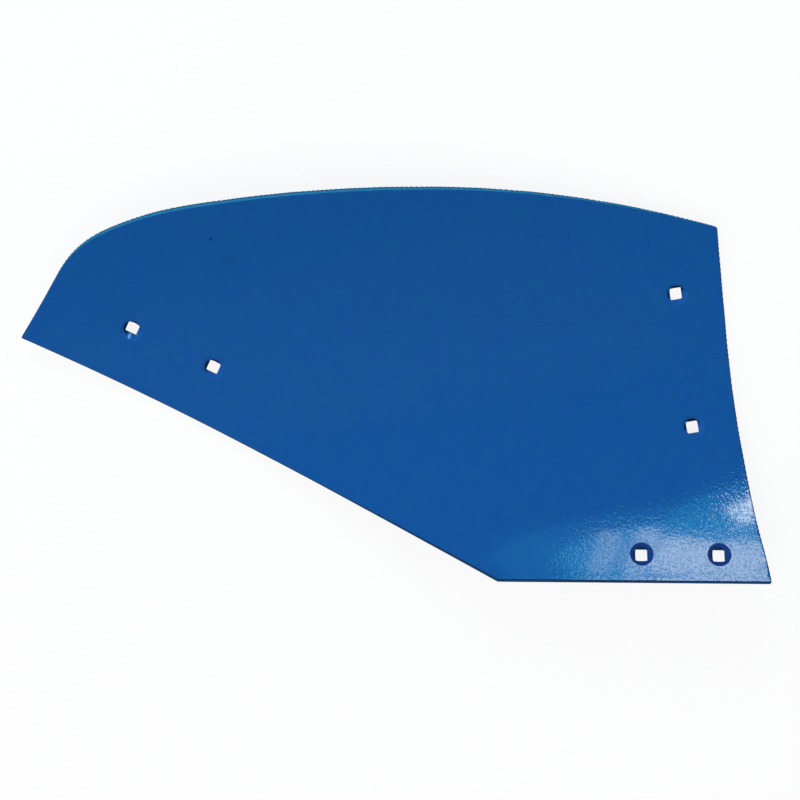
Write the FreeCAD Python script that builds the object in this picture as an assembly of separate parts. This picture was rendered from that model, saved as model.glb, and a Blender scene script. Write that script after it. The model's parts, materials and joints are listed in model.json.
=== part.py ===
import FreeCAD, Part
import math
import os
from FreeCAD import Placement, Rotation, Vector

# Right-hand mouldboard of a plough: one steel plate, cut to its outline, pressed hollow and punched.
# It is drawn standing, as its working face is seen, with the shin point as origin: x runs to the right
# of the view, y away from it and z up. Then it is laid on its back. Millimetres and degrees.

plateThickness = 8.0

# Hollow of the working face: level straight lines that climb an arc and turn as they climb
profileRadius = 420.0
uprightHeight = 163.8
profileInset = 392.5
shareSetting = -4.15
middleSetting = -2.5
middleHeight = 200.0
topSetting = 4.2
topHeight = 400.0

# Outline in the front view, leftwards from the shin point and round to it
shareEdge = 287.4
wingRise = 27.33
wingStraight = 312.9
wingBowRadius = 4950.0
wingBowLength = 269.3
tailAngle = 53.5
tailStraight = 81.1
tailCornerRadius = 119.7
tailCornerSweep = 30.9
shoulderRadius = 394.5
shoulderSweep = 13.7
crownRadius = 1768.0
crownSweep = 9.18
browRadius = 1220.0
browSweep = 13.46
shinHeights = (270.0, 190.0, 125.0, 60.0, 25.0)
shinInsets = (38.6, 29.5, 20.3, 10.2, 3.6)
cornerRadius = 1.5
shareTrim = 0.4

# Square bolt holes, each in a round countersink
squareSide = 12.7
squareCornerRadius = 1.2
countersinkDiameter = 25.0
countersinkAngle = 90.0

# Places of the holes in the front view: inset from the shin point and height above the share edge
shareHoleInset = 52.5
shareHoleHeight = 28.2
shareHoleSpacing = 81.6
shinHoleInset = 74.2
shinHoleHeight = 163.9
shinHoleSpacing = 144.4
shinHoleLean = 7.45
shinHoleTurn = 9.5
wingHoleInset = 598.5
wingHoleHeight = 227.9
wingHoleSpacing = 96.4
wingHoleRise = 25.5

# Allowances of the work
surfaceMargin = 40.0
surfaceRows = 24
cutMargin = 1.0
offsetTolerance = 0.001
restDeflection = 0.05
restTouch = 0.01


def settingSlope(height):
    """Slope of the level line at a height, on a parabola through the three setting angles."""
    angles = (shareSetting, middleSetting, topSetting)
    low, middle, top = [math.tan(math.radians(angle)) for angle in angles]
    rise = (middle - low) / middleHeight
    bend = ((top - middle) / (topHeight - middleHeight) - rise) / topHeight
    return low + rise * height + bend * height * (height - middleHeight)


def facePoint(across, height):
    """Point of the working face at a place in the front view."""
    reach = math.sqrt(profileRadius ** 2 - (height - uprightHeight) ** 2)
    depth = reach - profileRadius + (across + profileInset) * settingSlope(height)
    return Vector(across, depth, height)


def makeSurface(box):
    left, right = box.XMin - surfaceMargin, box.XMax + surfaceMargin
    bottom, top = box.ZMin - surfaceMargin, box.ZMax + surfaceMargin
    rows = []
    for row in range(surfaceRows + 1):
        height = bottom + (top - bottom) * row / surfaceRows
        rows.append([facePoint(across, height) for across in (left, (left + right) / 2, right)])
    surface = Part.BSplineSurface()
    surface.interpolate(rows)
    return surface


def heading(angle):
    return Vector(math.cos(math.radians(angle)), 0, math.sin(math.radians(angle)))


def drawLine(start, angle, length):
    end = start + heading(angle) * length
    return Part.LineSegment(start, end).toShape(), end


def drawArc(start, angle, radius, sweep):
    """Arc that leaves its start at an angle; a positive sweep turns left."""
    side = math.copysign(90, sweep)
    centre = start + heading(angle + side) * radius
    middle = centre - heading(angle + side + sweep / 2) * radius
    end = centre - heading(angle + side + sweep) * radius
    return Part.Arc(start, middle, end).toShape(), end


def makeOutline():
    """Closed outline and its three sharp corners: wing tip, top corner and shin point."""
    shinPoint = Vector(0, 0, 0)
    shareEnd = Vector(-shareEdge, 0, 0)
    angle = 180 - wingRise
    wingLine, point = drawLine(shareEnd, angle, wingStraight)
    wingBow, tip = drawArc(point, angle, wingBowRadius, math.degrees(wingBowLength / wingBowRadius))
    tailLine, point = drawLine(tip, tailAngle, tailStraight)
    edges = [wingLine, wingBow, tailLine]
    angle = tailAngle
    for radius, sweep in ((tailCornerRadius, tailCornerSweep), (shoulderRadius, shoulderSweep),
                          (crownRadius, crownSweep), (browRadius, browSweep)):
        arc, point = drawArc(point, angle, radius, -sweep)
        edges.append(arc)
        angle -= sweep
    shin = Part.BSplineCurve()
    through = [Vector(-inset, 0, height) for inset, height in zip(shinInsets, shinHeights)]
    shin.interpolate([point, *through, shinPoint])
    edges += [shin.toShape(), Part.LineSegment(shinPoint, shareEnd).toShape()]
    return Part.Wire(edges), [tip, point, shinPoint]


def makePlate(surface, outline, corners):
    """The pressed blank: the face inside the outline, thickened backwards with edges square to it."""
    reach = 2 * profileRadius
    prism = Part.Face(outline).extrude(Vector(0, reach, 0))
    prism.translate(Vector(0, -reach / 2, 0))

    def atCorner(edge):
        ends = [Vector(vertex.X, 0, vertex.Z) for vertex in edge.Vertexes]
        return any(max((end - corner).Length for end in ends) < cutMargin for corner in corners)

    prism = prism.makeFillet(cornerRadius, [edge for edge in prism.Edges if atCorner(edge)])
    face = surface.toShape().common(prism).Faces[0]
    return face.makeOffsetShape(plateThickness, offsetTolerance, fill=True)


def facePlacement(surface, across, height, turn):
    """Frame on the face: z is its outward normal, and x lies in it, at a turn in the front view."""
    centre = facePoint(across, height)
    normal = surface.normal(*surface.parameter(centre))
    if normal.y > 0:
        normal = -normal
    along = heading(turn)
    along.y = -along.dot(normal) / normal.y
    return Placement(centre, Rotation(along, Vector(), normal, "ZXY"))


def makeShareCut(surface):
    """Block below the share edge that trims it to one plane, so that the share can butt against it."""
    corner = Vector(-shareEdge, shareTrim - shareEdge, -shareEdge / 2)
    block = Part.makeBox(2 * shareEdge, shareEdge, shareEdge, corner)
    block.Placement = facePlacement(surface, -shareEdge / 2, 0, 0)
    return block


def makeHole(surface, across, height, turn):
    """Square hole with a conical countersink, square to the face."""
    length = plateThickness + 2 * cutMargin
    corner = Vector(-squareSide / 2, -squareSide / 2, cutMargin - length)
    square = Part.makeBox(squareSide, squareSide, length, corner)
    lengthwise = [edge for edge in square.Edges if edge.Vertexes[0].Z != edge.Vertexes[1].Z]
    square = square.makeFillet(squareCornerRadius, lengthwise)
    rim = countersinkDiameter / 2
    taper = math.tan(math.radians(countersinkAngle / 2))
    depth = rim / taper
    cone = Part.makeCone(0, rim + cutMargin * taper, depth + cutMargin, Vector(0, 0, -depth))
    hole = square.fuse(cone)
    hole.Placement = facePlacement(surface, across, height, turn)
    return hole


def makeHoleRow(surface, across, height, spacing, rise, turn):
    """Two holes; the second lies at the spacing and rise from the first."""
    step = heading(rise) * spacing
    return [makeHole(surface, across, height, turn), makeHole(surface, across + step.x, height + step.z, turn)]


def tip(points, pivot, side, down):
    """Tips a lying body to one side about its pivot until the next point touches the ground."""
    side = (side - down * side.dot(down)).normalize()

    def turn(point):
        arm = point - pivot
        reach, height = arm.dot(side), max(0, -arm.dot(down))
        return math.atan2(height, reach) if math.hypot(reach, height) > restTouch else math.pi

    touched = min(points, key=turn)
    angle = turn(touched)
    return down * math.cos(angle) + side * math.sin(angle), touched


def settle(points, centre, down):
    """Down direction of the body once it has come to rest on three points round its centre of mass."""
    first = max(points, key=down.dot)
    down, second = tip(points, first, centre - first, down)
    while True:
        side = down.cross(second - first)
        if side.dot(centre - first) < 0:
            side = -side
        down, third = tip(points, first, side, down)
        for start, opposite in ((first, second), (second, first)):
            across = down.cross(third - start)
            if across.dot(centre - start) * across.dot(opposite - start) < 0:
                first, second = start, third
                break
        else:
            return down


def layDown(plate):
    """Lays the plate on its back, face up and top edge away, with its origin under the box's middle."""
    plate.rotate(Vector(), Vector(1, 0, 0), -90)
    below = Vector(0, 0, -1)
    points = plate.tessellate(restDeflection)[0]
    lean = Rotation(settle(points, plate.CenterOfMass, below), below)
    plate.rotate(Vector(), lean.Axis, math.degrees(lean.Angle))
    box = FreeCAD.BoundBox()
    for point in points:
        box.add(lean.multVec(point))
    plate.translate(Vector(-box.Center.x, -box.Center.y, -box.ZMin))


outline, corners = makeOutline()
surface = makeSurface(outline.BoundBox)
cuts = [makeShareCut(surface)]
cuts += makeHoleRow(surface, -shareHoleInset, shareHoleHeight, shareHoleSpacing, 180, 0)
cuts += makeHoleRow(surface, -shinHoleInset, shinHoleHeight, shinHoleSpacing, 90 + shinHoleLean, shinHoleTurn)
cuts += makeHoleRow(surface, -wingHoleInset, wingHoleHeight, wingHoleSpacing, 180 - wingHoleRise, -wingHoleRise)
plate = makePlate(surface, outline, corners).cut(cuts).Solids[0]
layDown(plate)

os.makedirs("parts", exist_ok=True)
plate.exportStep("parts/mouldboard.step")
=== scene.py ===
import json
import math
import bpy
import numpy
from mathutils import Matrix, Quaternion, Vector
from mathutils.kdtree import KDTree


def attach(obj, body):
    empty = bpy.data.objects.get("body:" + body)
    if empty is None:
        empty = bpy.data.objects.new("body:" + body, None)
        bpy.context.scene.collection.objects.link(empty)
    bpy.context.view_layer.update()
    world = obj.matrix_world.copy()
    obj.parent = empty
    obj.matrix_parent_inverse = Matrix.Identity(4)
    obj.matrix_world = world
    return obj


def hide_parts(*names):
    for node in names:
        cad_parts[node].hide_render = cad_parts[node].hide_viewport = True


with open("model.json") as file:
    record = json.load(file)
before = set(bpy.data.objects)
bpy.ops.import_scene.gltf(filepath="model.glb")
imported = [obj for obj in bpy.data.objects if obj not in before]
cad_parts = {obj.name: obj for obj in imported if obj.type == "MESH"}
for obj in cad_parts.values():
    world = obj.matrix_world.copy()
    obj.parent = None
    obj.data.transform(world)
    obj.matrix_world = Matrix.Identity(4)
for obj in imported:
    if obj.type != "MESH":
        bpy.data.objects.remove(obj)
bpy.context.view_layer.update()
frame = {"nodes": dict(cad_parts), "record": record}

scene = bpy.context.scene
scene.view_settings.view_transform = "Standard"


class Signal:
    # An output socket that takes part in sums: each sum adds a Math node
    def __init__(self, finish, socket):
        self.finish, self.socket = finish, socket

    def combine(self, operation, first, second):
        return self.finish.node("ShaderNodeMath", {"operation": operation}, {0: first, 1: second})

    def __add__(self, other):
        return self.combine("ADD", self, other)

    def __radd__(self, other):
        return self.combine("ADD", other, self)

    def __sub__(self, other):
        return self.combine("SUBTRACT", self, other)

    def __rsub__(self, other):
        return self.combine("SUBTRACT", other, self)

    def __mul__(self, other):
        return self.combine("MULTIPLY", self, other)

    def __rmul__(self, other):
        return self.combine("MULTIPLY", other, self)


class Finish:
    # The node tree of a material, or of the world
    def __init__(self, owner):
        owner.use_nodes = True
        self.owner, self.tree = owner, owner.node_tree
        self.tree.nodes.clear()

    def node(self, kind, settings, sockets, output=0):
        made = self.tree.nodes.new(kind)
        for name, value in settings.items():
            setattr(made, name, value)
        for name, value in sockets.items():
            if isinstance(value, Signal):
                self.tree.links.new(value.socket, made.inputs[name])
            else:
                made.inputs[name].default_value = value
        if made.outputs:
            return Signal(self, made.outputs[output])

    def mixColours(self, share, first, second):
        # In a Mix node set to colours, sockets 6 and 7 take them and output 2 gives the result
        return self.node("ShaderNodeMix", {"data_type": "RGBA"}, {0: share, 6: first, 7: second}, 2)

    def fade(self, value, start, end, first=0.0, last=1.0):
        # Goes gently from first to last while the value goes from start to end
        return self.node("ShaderNodeMapRange", {"interpolation_type": "SMOOTHSTEP"}, {
            "Value": value, "From Min": start, "From Max": end, "To Min": first, "To Max": last})

    def stretch(self, spot, scales):
        return self.node("ShaderNodeMapping", {}, {"Vector": spot, "Scale": scales})

    def noise(self, spot, scale, detail, roughness=0.5):
        return self.node("ShaderNodeTexNoise", {}, {
            "Vector": spot, "Scale": scale, "Detail": detail, "Roughness": roughness}, "Fac")

    def relief(self, height):
        # The height is in metres
        return self.node("ShaderNodeBump", {}, {"Height": height, "Strength": 1.0, "Distance": 1.0})


def colour(red, green, blue):
    return (red, green, blue, 1.0)


# The camera at the photograph's viewing angle, about 1.54 m above the plate
view = {
    "place": (0.0632927, 0.1365742, 1.5413358),
    "along": (-0.034746, -0.10127, -0.994252),
    "up": (-0.001764, 0.994857, -0.10127),
    "lens": 63.1,
}


def addCamera():
    along, up = Vector(view["along"]).normalized(), Vector(view["up"]).normalized()
    turn = Matrix((along.cross(up), up, -along)).transposed().to_euler()
    bpy.ops.object.camera_add(location=view["place"], rotation=turn)
    scene.camera = bpy.context.object
    scene.camera.data.lens = view["lens"]


addCamera()
print("camera placed")


# Pale floor and pale room; the room's heights and sides are those of a direction one unit long
studio = {
    "floorSize": 60.0,
    "floorColour": colour(0.9, 0.9, 0.9),
    "floorGlow": 0.86,  # share of plain white in what the camera, gloss and glass see of the floor
    "horizon": colour(1.0, 1.0, 1.0),
    "nearWall": colour(0.09, 0.09, 0.09),
    "ceiling": colour(0.05, 0.05, 0.05),
    "horizonHeight": 0.18,  # white all round up to here, and above it the walls and the ceiling fade in
    "wallHeight": 0.26,
    "ceilingHeight": 0.42,
    "nearSide": -0.2,  # the walls turn from dark to white between these
    "farSide": 0.9,
}
lamps = {  # place, size, turn in degrees, radiance and tint; a lamp without facing looks straight down
    "shareBox": {"place": (0.575, 0.995, 1.6), "size": (0.31, 0.235), "turn": 7.0,
                 "radiance": 4.0, "tint": (1.0, 0.89, 0.74)},
    "shareStripRight": {"place": (0.39, 0.965, 1.6), "size": (0.05, 0.32), "turn": 4.0,
                        "radiance": 3.2, "tint": (1.0, 0.88, 0.76)},
    "shareStripLeft": {"place": (0.30, 0.97, 1.6), "size": (0.05, 0.30), "turn": 4.0,
                       "radiance": 2.2, "tint": (1.0, 0.88, 0.76)},
    "shareHalo": {"place": (0.50, 1.03, 1.61), "size": (0.62, 0.50), "round": True,
                  "radiance": 1.35, "tint": (0.06, 0.68, 1.0)},
    "shareGlow": {"place": (0.46, 1.04, 1.62), "size": (0.86, 0.66), "round": True,
                  "radiance": 0.5, "tint": (0.06, 0.68, 1.0)},
    "shinBox": {"place": (0.662, 0.728, 1.6), "size": (0.15, 0.09), "turn": -30.0,
                "radiance": 7.8, "tint": (0.9, 0.96, 0.9)},
    "shinHalo": {"place": (0.60, 0.76, 1.61), "size": (0.32, 0.24), "turn": -20.0, "round": True,
                 "radiance": 1.0, "tint": (0.06, 0.68, 1.0)},
    "topBox": {"place": (-0.5, 2.2, 1.5), "facing": (0.0, 0.0, 0.0), "size": (2.4, 0.9),
               "radiance": 5.3, "tint": (0.85, 0.97, 1.0), "inGloss": False},
    "leftBox": {"place": (-2.0, -0.4, 1.3), "facing": (0.0, 0.0, 0.0), "size": (2.0, 0.9),
                "radiance": 2.1, "tint": (1.0, 1.0, 1.0), "inGloss": False},
    "rightBox": {"place": (2.1, -0.2, 1.3), "facing": (0.0, 0.0, 0.0), "size": (2.0, 0.9),
                 "radiance": 1.6, "tint": (1.0, 1.0, 1.0), "inGloss": False},
    "ceilingFill": {"place": (-0.35, -0.9, 2.5), "facing": (-0.3, -0.1, 0.0), "size": (2.4, 2.0),
                    "radiance": 3.0, "tint": (1.0, 1.0, 1.0), "inGloss": False},
}


def addFloor():
    bpy.ops.mesh.primitive_plane_add(size=studio["floorSize"])
    floor = bpy.context.object
    floor.name = "floor"
    finish = Finish(bpy.data.materials.new("paleFloor"))
    byCamera, inGloss, throughGlass = [finish.node("ShaderNodeLightPath", {}, {}, ray) for ray in (
        "Is Camera Ray", "Is Glossy Ray", "Is Transmission Ray")]
    seen = byCamera + inGloss + throughGlass
    lit = finish.node("ShaderNodeBsdfDiffuse", {}, {"Color": studio["floorColour"]})
    glow = finish.node("ShaderNodeEmission", {}, {"Color": studio["horizon"], "Strength": 1.0})
    both = finish.node("ShaderNodeMixShader", {}, {0: seen * studio["floorGlow"], 1: lit, 2: glow})
    finish.node("ShaderNodeOutputMaterial", {}, {"Surface": both})
    floor.data.materials.append(finish.owner)


def addRoom():
    finish = Finish(bpy.data.worlds.new("paleRoom"))
    direction = finish.node("ShaderNodeTexCoord", {}, {}, "Generated")
    away, height = [finish.node("ShaderNodeSeparateXYZ", {}, {0: direction}, axis) for axis in "YZ"]
    far = finish.fade(away, studio["nearSide"], studio["farSide"])
    above = finish.fade(height, studio["horizonHeight"], studio["wallHeight"])
    climb = finish.fade(height, studio["horizonHeight"], studio["ceilingHeight"])
    walls = finish.mixColours(far, studio["nearWall"], studio["horizon"])
    room = finish.mixColours(climb, walls, studio["ceiling"])
    shade = finish.mixColours(above, studio["horizon"], room)
    light = finish.node("ShaderNodeBackground", {}, {"Color": shade, "Strength": 1.0})
    finish.node("ShaderNodeOutputWorld", {}, {"Surface": light})
    scene.world = finish.owner


def addLamps():
    for name, lamp in lamps.items():
        place = Vector(lamp["place"])
        back = place - Vector(lamp.get("facing", (place.x, place.y, 0.0)))
        turn = Quaternion((0, 0, 1), math.radians(lamp.get("turn", 0)))
        bpy.ops.object.light_add(type="AREA", location=place,
                                 rotation=(back.to_track_quat("Z", "Y") @ turn).to_euler())
        made = bpy.context.object
        made.name = name
        made.data.shape = "ELLIPSE" if lamp.get("round") else "RECTANGLE"
        made.data.size, made.data.size_y = lamp["size"]
        # A lamp's power for its radiance; a round one, which has less area, comes out brighter by 4 / pi
        made.data.energy = lamp["radiance"] * math.pi * lamp["size"][0] * lamp["size"][1]
        made.data.color = lamp["tint"]
        made.visible_camera = False
        made.visible_glossy = lamp.get("inGloss", True)


addFloor()
addRoom()
addLamps()
print("studio lit")


paint = {
    "blue": colour(0.0042, 0.080, 0.325),
    "greenerBlue": colour(0.0042, 0.088, 0.308),
    "streaks": (105.0, 42.0, 60.0),  # scales of the patterns, per metre
    "streakDetail": 3.0,
    "streakRoughness": 0.6,
    "streakContrast": 3.0,
    "peelFine": 400.0,
    "peelCoarse": 210.0,
    "peelDetail": 1.0,
    "peelHeight": 0.00007,
    "thinBelow": 0.4,  # the coat is thin where the fine peel is low
    "fullAbove": 0.6,
    "thinCoat": 0.35,
    "roughness": 0.05,
    "coatRoughness": 0.05,
}
# A mark lies between its ends. It is full, or has faded out, where the way from end to end by a point
# is longer than the mark by that much
marks = {
    "pit": {"ends": ((-0.1883, 0.1561, 0.0590), (-0.1883, 0.1561, 0.0590)),
            "full": 0.0020, "faded": 0.0056, "colour": colour(0.003, 0.040, 0.115), "strength": 0.9},
    "smudge": {"ends": ((-0.177, 0.132, 0.046), (-0.162, 0.139, 0.048)),
               "full": 0.0002, "faded": 0.0025, "colour": colour(0.004, 0.060, 0.20), "strength": 0.45},
}


def addMark(finish, spot, mark, ground):
    fromStart, fromEnd = [finish.node("ShaderNodeVectorMath", {"operation": "DISTANCE"},
                                      {0: spot, 1: end}, "Value") for end in mark["ends"]]
    length = (Vector(mark["ends"][0]) - Vector(mark["ends"][1])).length
    shown = finish.fade(fromStart + fromEnd, length + mark["full"], length + mark["faded"],
                        mark["strength"], 0.0)
    return finish.mixColours(shown, ground, mark["colour"])


def makePaint():
    finish = Finish(bpy.data.materials.new("bluePaint"))
    spot = finish.node("ShaderNodeTexCoord", {}, {}, "Object")
    streaks = finish.noise(finish.stretch(spot, paint["streaks"]), 1.0,
                           paint["streakDetail"], paint["streakRoughness"])
    contrast = paint["streakContrast"]
    greener = streaks * contrast - (contrast - 1) / 2
    blue = finish.mixColours(greener, paint["blue"], paint["greenerBlue"])
    for mark in marks.values():
        blue = addMark(finish, spot, mark, blue)
    fine = finish.noise(spot, paint["peelFine"], paint["peelDetail"])
    coarse = finish.noise(spot, paint["peelCoarse"], paint["peelDetail"])
    coat = finish.node("ShaderNodeMapRange", {}, {
        "Value": fine, "From Min": paint["thinBelow"], "From Max": paint["fullAbove"],
        "To Min": paint["thinCoat"], "To Max": 1.0})
    shader = finish.node("ShaderNodeBsdfPrincipled", {}, {
        "Base Color": blue, "Roughness": paint["roughness"], "Coat Weight": coat,
        "Coat Roughness": paint["coatRoughness"],
        "Normal": finish.relief((fine + coarse) * paint["peelHeight"])})
    finish.node("ShaderNodeOutputMaterial", {}, {"Surface": shader})
    return finish.owner


# The dull paint on everything but the working face; several of these colours hold painted light and shade
matt = {
    "colours": {
        "litWall": colour(0.018, 0.165, 0.34),  # painted light: the cut edge at the top and the tail, lighter as if lit from above
        "lower": colour(0.018, 0.052, 0.130),  # painted shade: the other cut edges and the walls of the square holes, darker as if turned from the light
        "torn": colour(0.014, 0.085, 0.18),  # back strip of the upper edge, the torn part of the cut, darker but within that edge's painted light
        "rim": colour(0.006, 0.030, 0.090),  # painted shade: on the worn edge above the lower one, and on the shaded side of the share holes' necks
        "shareSink": colour(0.011, 0.048, 0.22),  # painted shade: the countersinks by the share edge, darker than the face
        # painted light: the other countersinks, lighter than the face; sinkShade is their painted shade
        "litSink": colour(0.0115, 0.100, 0.365),
        "sinkShade": colour(0.002, 0.014, 0.050),
        "back": colour(0.006, 0.080, 0.318),
    },
    "cut": ("litWall", "lower", "torn"),  # these show the marks of the cut
    "markScale": (900.0, 900.0, 60.0),
    "markDetail": 2.0,
    "markHeight": 0.0001,
    "roughness": 0.42,
}
glints = {  # painted highlights: bright specks in the countersink at the wing's outer end
    "stroke": {"ends": ((-0.2859, 0.0538, 0.0155), (-0.2872, 0.0488, 0.0182)),
               "full": 0.0001, "faded": 0.0016, "colour": colour(0.14, 0.37, 0.75), "strength": 1.0},
    "dot": {"ends": ((-0.2785, 0.0529, 0.0162), (-0.2785, 0.0529, 0.0162)),
            "full": 0.0006, "faded": 0.0030, "colour": colour(0.12, 0.30, 0.58), "strength": 0.9},
}
slots = {place: slot for slot, place in enumerate(["blue", *matt["colours"]])}


def makeMattPaint(place):
    finish = Finish(bpy.data.materials.new(place + "Paint"))
    spot = finish.node("ShaderNodeTexCoord", {}, {}, "Object")
    sockets = {"Base Color": matt["colours"][place], "Roughness": matt["roughness"],
               "Specular IOR Level": 0.0}
    if place in matt["cut"]:
        traces = finish.noise(finish.stretch(spot, matt["markScale"]), 1.0, matt["markDetail"])
        sockets["Normal"] = finish.relief(traces * matt["markHeight"])
    # Painted highlights on the countersinks
    if place == "litSink":
        for glint in glints.values():
            sockets["Base Color"] = addMark(finish, spot, glint, sockets["Base Color"])
    shader = finish.node("ShaderNodeBsdfPrincipled", {}, sockets)
    finish.node("ShaderNodeOutputMaterial", {}, {"Surface": shader})
    return finish.owner


# The plate is remade with even faces on the node's own working face
plate = {
    "thickness": 0.00795,  # a hair under the sheet's 8 mm, so that the back stays inside the node's box
    "cell": 0.008,  # grid over the faces
    "fitPowers": (3, 8),  # how many powers, from 0 up, the fitted face has along and across the plate
    "fitReach": (0.4, 0.2),  # half the plate's length and depth, roughly
    "edgeStep": 0.0011,  # longest step along the outline
    "cutMarkPitch": 0.0052,
    "cutMarkDepth": 0.0008,
    "pitchSwings": ((0.9, 61.0), (0.6, 143.0)),  # reach in radians, and rate in radians per metre
    "meanDepth": 0.55,  # the marks' depth swings about this share of the full one
    "depthSwing": 0.45,
    "depthRates": (97.0, 29.0),
    "frontShare": 0.25,  # the face's edge shows this share of the marks along the upper edge
    "cleanCutDepth": 0.0001,
    "cleanFrom": 0.9,  # an edge whose inward direction points this much up the picture is clean
    "edgeWidth": 0.001,  # worn edge of both faces
    "edgeDrop": 0.0004,
    "wallRings": 2,  # rings that divide the cut wall
    "mergeDistance": 0.00003,
    "sharpAngle": 35.0,
    "upperStart": 0.117,  # the cut edge counts as the upper one above a line from tip to top corner
    "upperRise": 0.14,
}
holes = {
    "squareSide": 0.0127,
    "squareRounding": 0.0012,
    "roundingSegments": 4,
    "sinkWidth": 0.025,
    "sinkSides": 96,
    "sinkMargin": 0.001,  # the sink's cutter stands this far out of the face
    "neckWidth": 0.0185,
    "shadeFrom": (-0.5, 0.85),  # the side of the neck that gets painted shade
    "wallSlope": 0.35,  # the square's walls run along the hole, and the sink's cone halfway across it
    "sinkSlope": 0.9,
    "turns": {  # turn of the square seen from above, in degrees
        "share_bolt_hole_outer": 0.3, "share_bolt_hole_inner": 0.3,
        "shin_bolt_hole_lower": 9.6, "shin_bolt_hole_upper": 9.5,
        "wing_bolt_hole_inner": -25.9, "wing_bolt_hole_outer": -26.5,
    },
}
boltHoles = [mount for mount in frame["record"]["mounts"] if mount["name"] in holes["turns"]]


def pick(piece):
    bpy.ops.object.select_all(action="DESELECT")
    piece.select_set(True)
    bpy.context.view_layer.objects.active = piece


def applyModifier(piece, kind, settings):
    pick(piece)
    modifier = piece.modifiers.new(kind.lower(), kind)
    for name, value in settings.items():
        setattr(modifier, name, value)
    bpy.ops.object.modifier_apply(modifier=modifier.name)


def findWorkingFace():
    # The node's islands are the faces of its solid, and the working face is the largest that looks up
    copy = bpy.data.objects.new("faces", frame["nodes"]["mouldboard"].data.copy())
    scene.collection.objects.link(copy)
    pick(copy)
    bpy.ops.mesh.separate(type="LOOSE")
    faces = bpy.context.selected_objects
    largest = max(faces, key=lambda face: sum(side.area * side.normal.z for side in face.data.polygons))
    points = [corner.co.copy() for corner in largest.data.vertices]
    sides = {(side.vertices[end - 1], side.vertices[end]) for side in largest.data.polygons
             for end in range(len(side.vertices))}
    bpy.ops.object.delete()
    border = {start: end for start, end in sorted(sides) if (end, start) not in sides}
    loops = []
    while border:
        loop = [min(border)]
        while loop[-1] in border:
            loop.append(border.pop(loop[-1]))
        loops.append([points[corner].to_2d() for corner in loop[:-1]])
    return points, max(loops, key=len)


def fitHeights(points):
    # A smooth surface through the face's corners gives the height at any place in between
    (alongCount, awayCount), (alongReach, awayReach) = plate["fitPowers"], plate["fitReach"]
    powers = [(along, away) for along in range(alongCount) for away in range(awayCount)]

    def terms(x, y):
        return [(x / alongReach) ** along * (y / awayReach) ** away for along, away in powers]

    table = numpy.array([terms(point.x, point.y) for point in points])
    heights = numpy.array([point.z for point in points])
    factors = numpy.linalg.lstsq(table, heights, rcond=None)[0]
    print("working face fitted to", round(1000 * abs(table @ factors - heights).max(), 3), "mm")
    return lambda x, y: float(numpy.dot(terms(x, y), factors))


def isLower(place):
    return place.y < plate["upperStart"] + plate["upperRise"] * place.x


def cutMark(run, inward):
    # How far and which way the uneven marks of the cut draw in the edge, so far along the outline
    rough = min(1.0, max(0.0, plate["cleanFrom"] - inward.y))
    depth = plate["cleanCutDepth"] + rough * (plate["cutMarkDepth"] - plate["cleanCutDepth"])
    wander = sum(reach * math.sin(rate * run) for reach, rate in plate["pitchSwings"])
    mark = 1 - abs(math.sin(math.pi * run / plate["cutMarkPitch"] + wander))
    swing = math.prod([math.sin(rate * run) for rate in plate["depthRates"]], start=plate["depthSwing"])
    return inward * depth * mark * (plate["meanDepth"] + swing)


def stepAlong(border):
    # The outline of the face in even short steps, and how much further the cut draws in the back's
    spans = [end - start for start, end in zip(border, border[1:] + border[:1])]
    whole = sum(span.length for span in spans)
    count = math.ceil(whole / plate["edgeStep"])
    steps, bites, index, passed = [], [], 0, 0.0
    for step in range(count):
        run = whole * step / count
        while passed + spans[index].length < run:
            passed += spans[index].length
            index += 1
        span = spans[index]
        place = border[index] + span * (run - passed) / span.length
        bite = cutMark(run, Vector((-span.y, span.x)).normalized())
        share = 1.0 if isLower(place) else plate["frontShare"]
        steps.append(place + bite * share)
        bites.append(bite * (1 - share))
    return steps, bites


def drawFace(steps):
    # The flat outline with a ring for its worn edge, divided by an even grid
    bpy.ops.object.select_all(action="DESELECT")
    bpy.ops.mesh.primitive_circle_add(vertices=len(steps), fill_type="NGON")
    blank = bpy.context.object
    blank.name = "mouldboardPlate"
    for corner, step in zip(blank.data.vertices, steps):
        corner.co = step.to_3d()
    bpy.ops.object.mode_set(mode="EDIT")
    bpy.ops.mesh.inset(thickness=plate["edgeWidth"], depth=0)
    bpy.ops.object.mode_set(mode="OBJECT")
    # The ring along the lower edges gets painted shade, and along the upper ones the face's blue
    for side in blank.data.polygons:
        inRing = len(side.vertices) == 4
        side.material_index = slots["rim" if inRing and isLower(side.center) else "blue"]
    bpy.ops.object.mode_set(mode="EDIT")
    for axis in (Vector((1, 0, 0)), Vector((0, 1, 0))):
        reach = max(abs(axis.to_2d().dot(step)) for step in steps)
        lines = math.floor(reach / plate["cell"])
        for line in range(-lines, lines + 1):
            bpy.ops.mesh.select_all(action="SELECT")
            bpy.ops.mesh.bisect(plane_co=axis * line * plate["cell"], plane_no=axis)
    bpy.ops.object.mode_set(mode="OBJECT")
    return blank


def thicken(blank, steps, bites):
    # The face gets its back, both edges are worn down, and the bites draw in the back's
    nearest = KDTree(len(steps))
    for index, step in enumerate(steps):
        nearest.insert(step.to_3d(), index)
    nearest.balance()
    front = len(blank.data.vertices)
    normals = [corner.normal.copy() for corner in blank.data.vertices]
    applyModifier(blank, "SOLIDIFY", {
        "thickness": plate["thickness"], "offset": -1.0, "use_quality_normals": True})
    corners = blank.data.vertices
    rim = [edge.index for edge in blank.data.edges if min(edge.vertices) < front <= max(edge.vertices)]
    for index in rim:
        high, low = sorted(blank.data.edges[index].vertices)
        step = nearest.find((corners[high].co.x, corners[high].co.y, 0))[1]
        corners[high].co -= normals[high] * plate["edgeDrop"]
        corners[low].co += normals[high] * plate["edgeDrop"] + bites[step].to_3d()
    return rim, front


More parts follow.
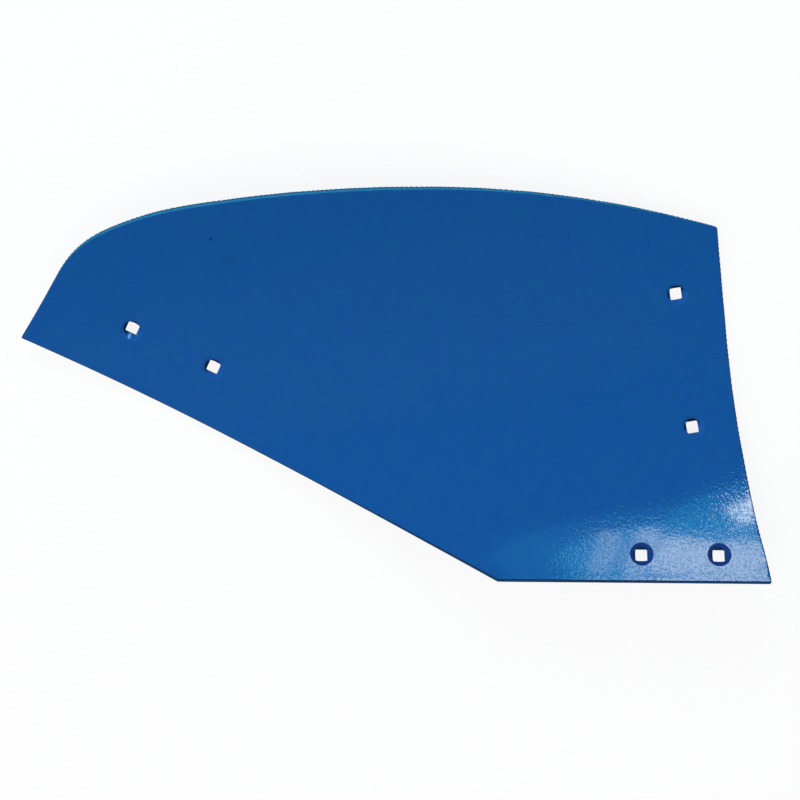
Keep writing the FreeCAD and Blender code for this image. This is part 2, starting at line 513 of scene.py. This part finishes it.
def divideWall(blank, rim, front):
    # Rings part the cut wall; where it is the upper edge, the strip at the back is the torn part of the cut
    bpy.ops.object.mode_set(mode="EDIT")
    bpy.ops.mesh.select_mode(type="EDGE")
    bpy.ops.mesh.select_all(action="DESELECT")
    bpy.ops.object.mode_set(mode="OBJECT")
    for index in rim:
        blank.data.edges[index].select = True
    bpy.ops.object.mode_set(mode="EDIT")
    bpy.ops.mesh.subdivide(number_cuts=plate["wallRings"])
    bpy.ops.object.mode_set(mode="OBJECT")
    # Walls of the lower edges get painted shade, and those of the upper edge painted light
    for side in blank.data.polygons:
        inWall = max(side.vertices) >= 2 * front
        atBack = any(front <= corner < 2 * front for corner in side.vertices)
        if inWall:
            side.material_index = slots["lower" if isLower(side.center) else "torn" if atBack else "litWall"]


def makeBlank():
    points, border = findWorkingFace()
    steps, bites = stepAlong(border)
    blank = drawFace(steps)
    height = fitHeights(points)
    for corner in blank.data.vertices:
        corner.co.z = height(corner.co.x, corner.co.y)
    rim, front = thicken(blank, steps, bites)
    divideWall(blank, rim, front)
    return blank


def placeCutters(cutter):
    # A copy of the cutter stands at each bolt hole, square to the face, and they are joined
    copies = []
    for mount in boltHoles:
        turn = math.radians(holes["turns"][mount["name"]])
        axis = Vector(mount["axis"]).normalized()
        along = Vector((math.cos(turn), math.sin(turn), 0))
        along.z = -along.dot(axis) / axis.z
        along.normalize()
        copy = bpy.data.objects.new(cutter.name, cutter.data.copy())
        scene.collection.objects.link(copy)
        stand = Matrix((along, axis.cross(along), axis)).transposed().to_4x4()
        copy.data.transform(Matrix.Translation(mount["pos_m"]) @ stand)
        copies.append(copy)
    pick(cutter)
    bpy.ops.object.delete()
    for copy in copies:
        copy.select_set(True)
    bpy.context.view_layer.objects.active = copies[0]
    bpy.ops.object.join()
    return copies[0]


def makeSquareCutter():
    reach = 2 * plate["thickness"]
    bpy.ops.object.select_all(action="DESELECT")
    bpy.ops.mesh.primitive_cube_add(size=holes["squareSide"])
    cutter = bpy.context.object
    for corner in cutter.data.vertices:
        corner.co.z = math.copysign(reach, corner.co.z)
    bpy.ops.object.mode_set(mode="EDIT")
    bpy.ops.mesh.select_all(action="DESELECT")
    bpy.ops.object.mode_set(mode="OBJECT")
    for edge in cutter.data.edges:
        low, high = [cutter.data.vertices[corner].co for corner in edge.vertices]
        edge.select = abs(low.z - high.z) > reach
    bpy.ops.object.mode_set(mode="EDIT")
    bpy.ops.mesh.select_mode(type="EDGE")
    bpy.ops.mesh.bevel(offset=holes["squareRounding"], segments=holes["roundingSegments"], affect="EDGES")
    bpy.ops.object.mode_set(mode="OBJECT")
    return placeCutters(cutter)


def makeSinkCutter():
    rim, margin = holes["sinkWidth"] / 2, holes["sinkMargin"]
    bpy.ops.object.select_all(action="DESELECT")
    bpy.ops.mesh.primitive_cone_add(vertices=holes["sinkSides"], radius1=0, radius2=rim + margin,
                                    depth=rim + margin, location=(0, 0, (margin - rim) / 2))
    bpy.ops.object.transform_apply()
    bpy.ops.object.mode_set(mode="EDIT")
    bpy.ops.mesh.select_all(action="SELECT")
    neck = Vector((0, 0, holes["neckWidth"] / 2 - rim))
    bpy.ops.mesh.bisect(plane_co=neck, plane_no=(0, 0, 1))
    bpy.ops.object.mode_set(mode="OBJECT")
    return placeCutters(bpy.context.object)


def cutHoles(piece):
    for cutter in (makeSquareCutter(), makeSinkCutter()):
        applyModifier(piece, "BOOLEAN", {"object": cutter, "operation": "DIFFERENCE", "solver": "EXACT"})
        pick(cutter)
        bpy.ops.object.delete()
    pick(piece)
    bpy.ops.object.mode_set(mode="EDIT")
    bpy.ops.mesh.select_all(action="SELECT")
    bpy.ops.mesh.remove_doubles(threshold=plate["mergeDistance"])
    bpy.ops.object.mode_set(mode="OBJECT")


# Each hole's square walls and the shade side of its neck get painted shade; the rest of its cone gets the
# countersink colour, painted light for the wing and shin holes and painted shade for the share holes
def paintHole(piece, mount):
    mouth, axis = Vector(mount["pos_m"]), Vector(mount["axis"])
    light, dark = ("shareSink", "rim") if mount["name"].startswith("share") else ("litSink", "sinkShade")
    for side in piece.data.polygons:
        arm = side.center - mouth
        if arm.length < holes["sinkWidth"]:
            slope = abs(side.normal.dot(axis))
            if slope < holes["wallSlope"]:
                side.material_index = slots["lower"]
            elif slope < holes["sinkSlope"]:
                inNeck = (arm - axis * arm.dot(axis)).length < holes["neckWidth"] / 2
                shaded = inNeck and arm.to_2d().dot(holes["shadeFrom"]) > 0
                side.material_index = slots[dark if shaded else light]


def makePlate():
    piece = makeBlank()
    print("blank pressed:", len(piece.data.polygons), "faces")
    piece.data.materials.append(makePaint())
    for place in matt["colours"]:
        piece.data.materials.append(makeMattPaint(place))
    cutHoles(piece)
    print("holes cut:", len(piece.data.polygons), "faces")
    for side in piece.data.polygons:
        if side.material_index == slots["blue"] and side.normal.z < 0:
            side.material_index = slots["back"]
    for mount in boltHoles:
        paintHole(piece, mount)
    bpy.ops.object.shade_smooth_by_angle(angle=math.radians(plate["sharpAngle"]))
    applyModifier(piece, "WEIGHTED_NORMAL", {"keep_sharp": True})
    counts = {place: sum(side.material_index == slot for side in piece.data.polygons)
              for place, slot in slots.items()}
    print("plate painted, faces of each paint:", counts)
    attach(piece, "root")
    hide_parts("mouldboard")


makePlate()
